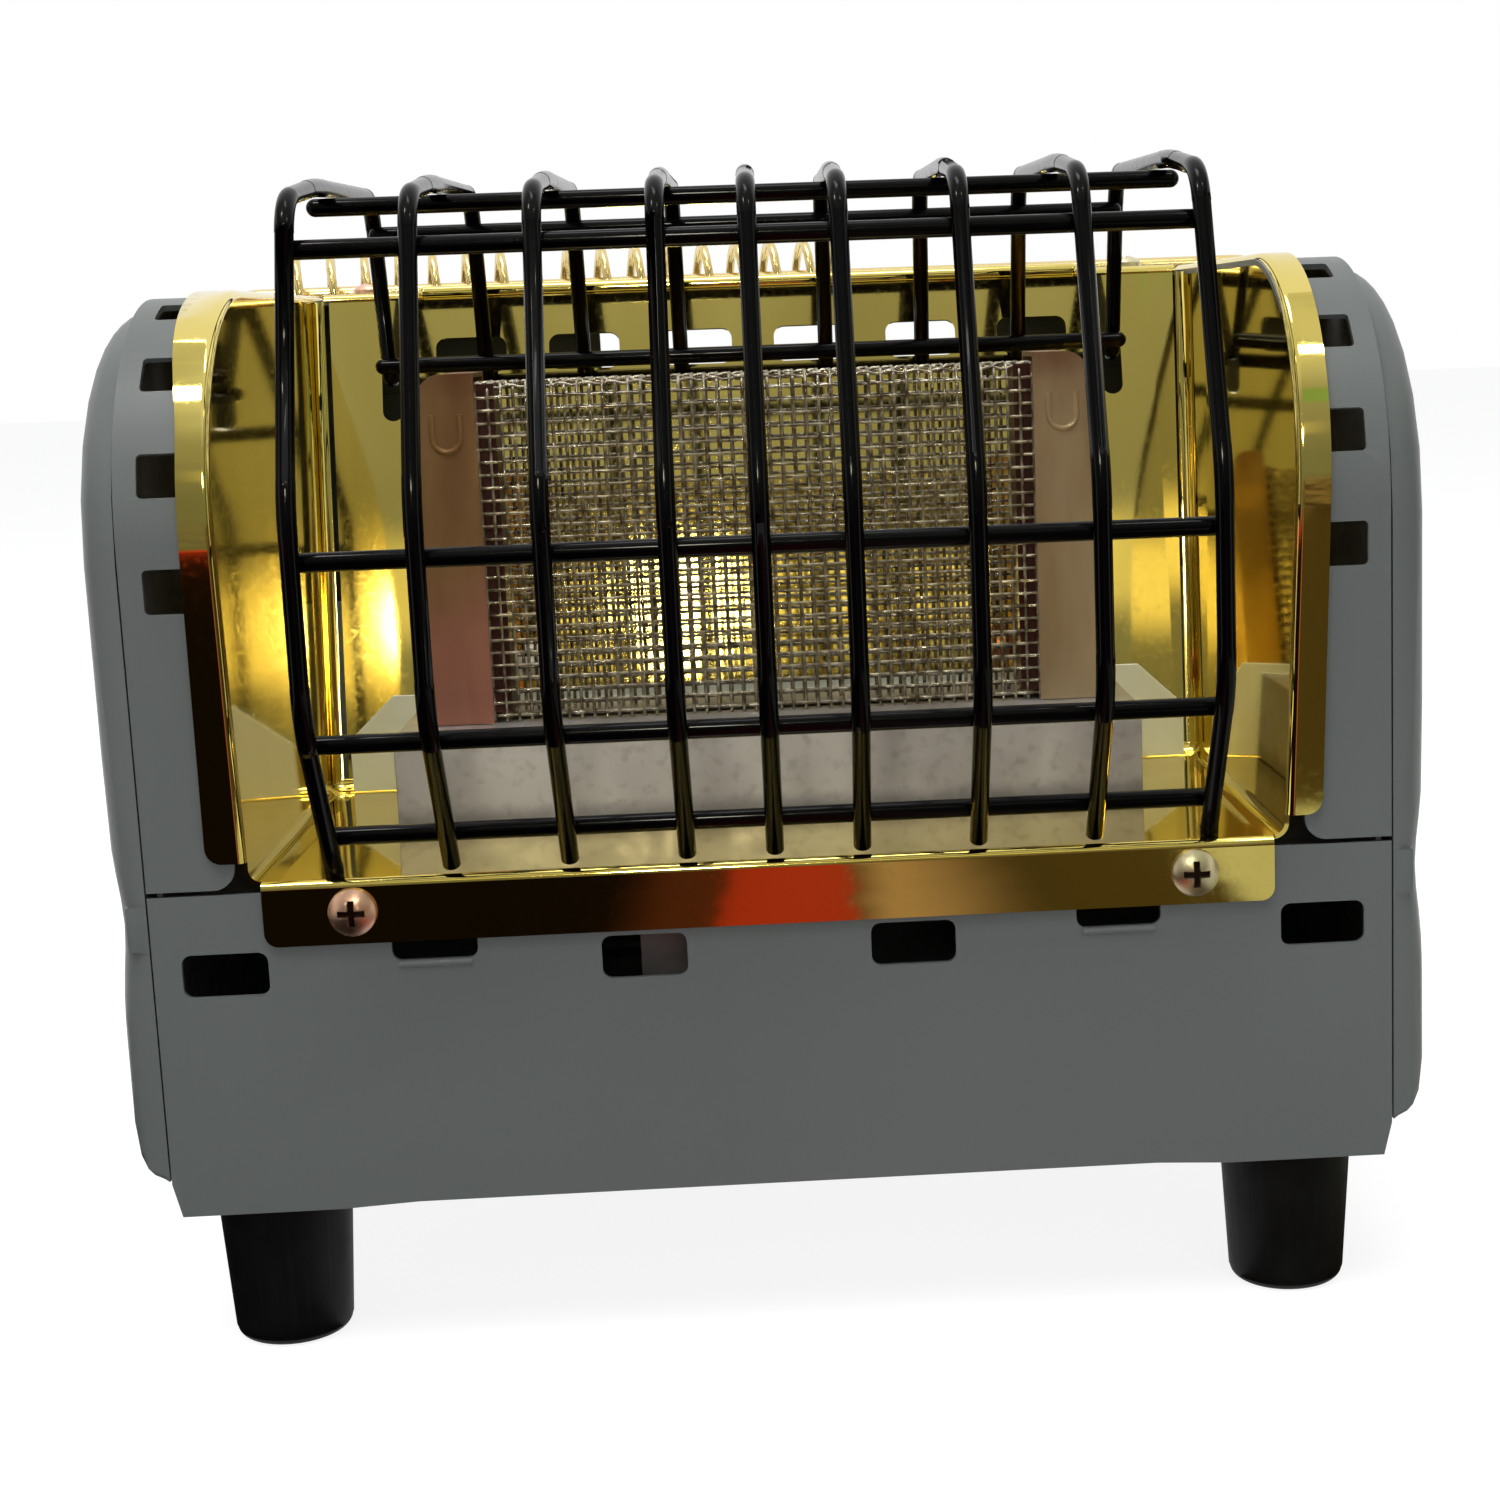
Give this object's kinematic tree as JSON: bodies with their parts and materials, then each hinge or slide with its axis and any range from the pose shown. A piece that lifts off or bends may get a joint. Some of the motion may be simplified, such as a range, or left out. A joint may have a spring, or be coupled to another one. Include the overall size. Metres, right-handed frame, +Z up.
{
  "type": "portable propane heater",
  "caption": "Small portable gas radiant heater with a box reflector, mesh burner hood, bulging wire guard, rubber feet and a coil-grip carrying handle.",
  "frame": {"origin": "on the floor plane, under the middle of the whole heater's bounding box", "axes": "+Z up; the guard and open reflector face -Y, the gas controls are on the back at +Y; +X runs along the width, towards the right hand of someone facing the guard"},
  "size_m": [0.2248, 0.1852, 0.1904],
  "materials": {
    "grey_enamel": "satin powder coat",
    "galvanised_sheet": "galvanised",
    "gold_reflector": "polished gold-tone sheet",
    "heat_tinted_steel": "copper-brown heat tint",
    "mesh_steel": "woven wire, dull",
    "brass": "machined",
    "copper": "drawn copper",
    "plain_steel": "turned",
    "knob_plastic": "satin",
    "igniter_plastic": "moulded",
    "red_plastic": "moulded",
    "ceramic": null,
    "lead_insulation": "silicone",
    "black_guard": "gloss black",
    "gold_wire": "bright gold-tone plated wire",
    "foot_rubber": "moulded",
    "copper_tint_screw": "copper-tinted",
    "zinc_screw": "zinc plated"
  },
  "bodies": {
    "heater": {"chassis": "galvanised_sheet", "front_panel": "grey_enamel", "upper_shell": "grey_enamel", "back_panel": "grey_enamel", "side_cover_left": "grey_enamel", "side_cover_right": "grey_enamel", "reflector": "gold_reflector", "heat_shield": "galvanised_sheet", "burner_tray": "galvanised_sheet", "burner_bracket": "galvanised_sheet", "burner_post_left": "heat_tinted_steel", "burner_post_right": "heat_tinted_steel", "burner_mesh": "mesh_steel", "mixing_tube": "galvanised_sheet", "gas_jet": "brass", "outlet_pipe": "copper", "inlet_pipe": "copper", "valve_body": "brass", "inlet_fitting": "brass", "igniter_body": "igniter_plastic", "spark_electrode": "ceramic", "ignition_lead": "lead_insulation", "thermocouple": "copper", "sensor_lead": "copper", "tilt_switch": "galvanised_sheet", "guard_hoops_left": "black_guard", "guard_hoops_middle": "black_guard", "guard_hoops_right": "black_guard", "guard_rails": "black_guard", "handle_bush_left": "knob_plastic", "handle_bush_right": "knob_plastic", "foot_front_left": "foot_rubber", "foot_front_right": "foot_rubber", "foot_rear_left": "foot_rubber", "foot_rear_right": "foot_rubber", "foot_screws": "zinc_screw", "flange_screws": "copper_tint_screw", "top_screws": "copper_tint_screw", "cover_screws": "zinc_screw", "back_screws": "zinc_screw"},
    "bail": {"handle_bail": "gold_wire"},
    "grip": {"handle_grip": "gold_wire"},
    "knob_carrier": {"spindle_collar": "plain_steel"},
    "knob": {"valve_spindle": "plain_steel", "control_knob": "knob_plastic"},
    "ignition_button": {"igniter_button": "red_plastic"}
  },
  "joints": [
    {"name": "handle_swing", "type": "hinge", "parent": "heater", "child": "bail", "pos_m": [0, 0.04236, 0.1514], "axis": [1, 0, 0], "range_deg": [-80, 72]},
    {"name": "grip_slide", "type": "slide", "parent": "bail", "child": "grip", "axis": [1, 0, 0], "range_m": [-0.007, 0.08]},
    {"name": "knob_push", "type": "slide", "parent": "heater", "child": "knob_carrier", "axis": [0, -1, 0], "range_m": [0, 0.004], "stiffness_N_per_m": 1500},
    {"name": "knob_turn", "type": "hinge", "parent": "knob_carrier", "child": "knob", "pos_m": [0.044, 0.06436, 0.05], "axis": [0, 1, 0], "range_deg": [-210, 0]},
    {"name": "ignition_push", "type": "slide", "parent": "heater", "child": "ignition_button", "axis": [0, -1, 0], "range_m": [0, 0.005], "stiffness_N_per_m": 2000}
  ]
}
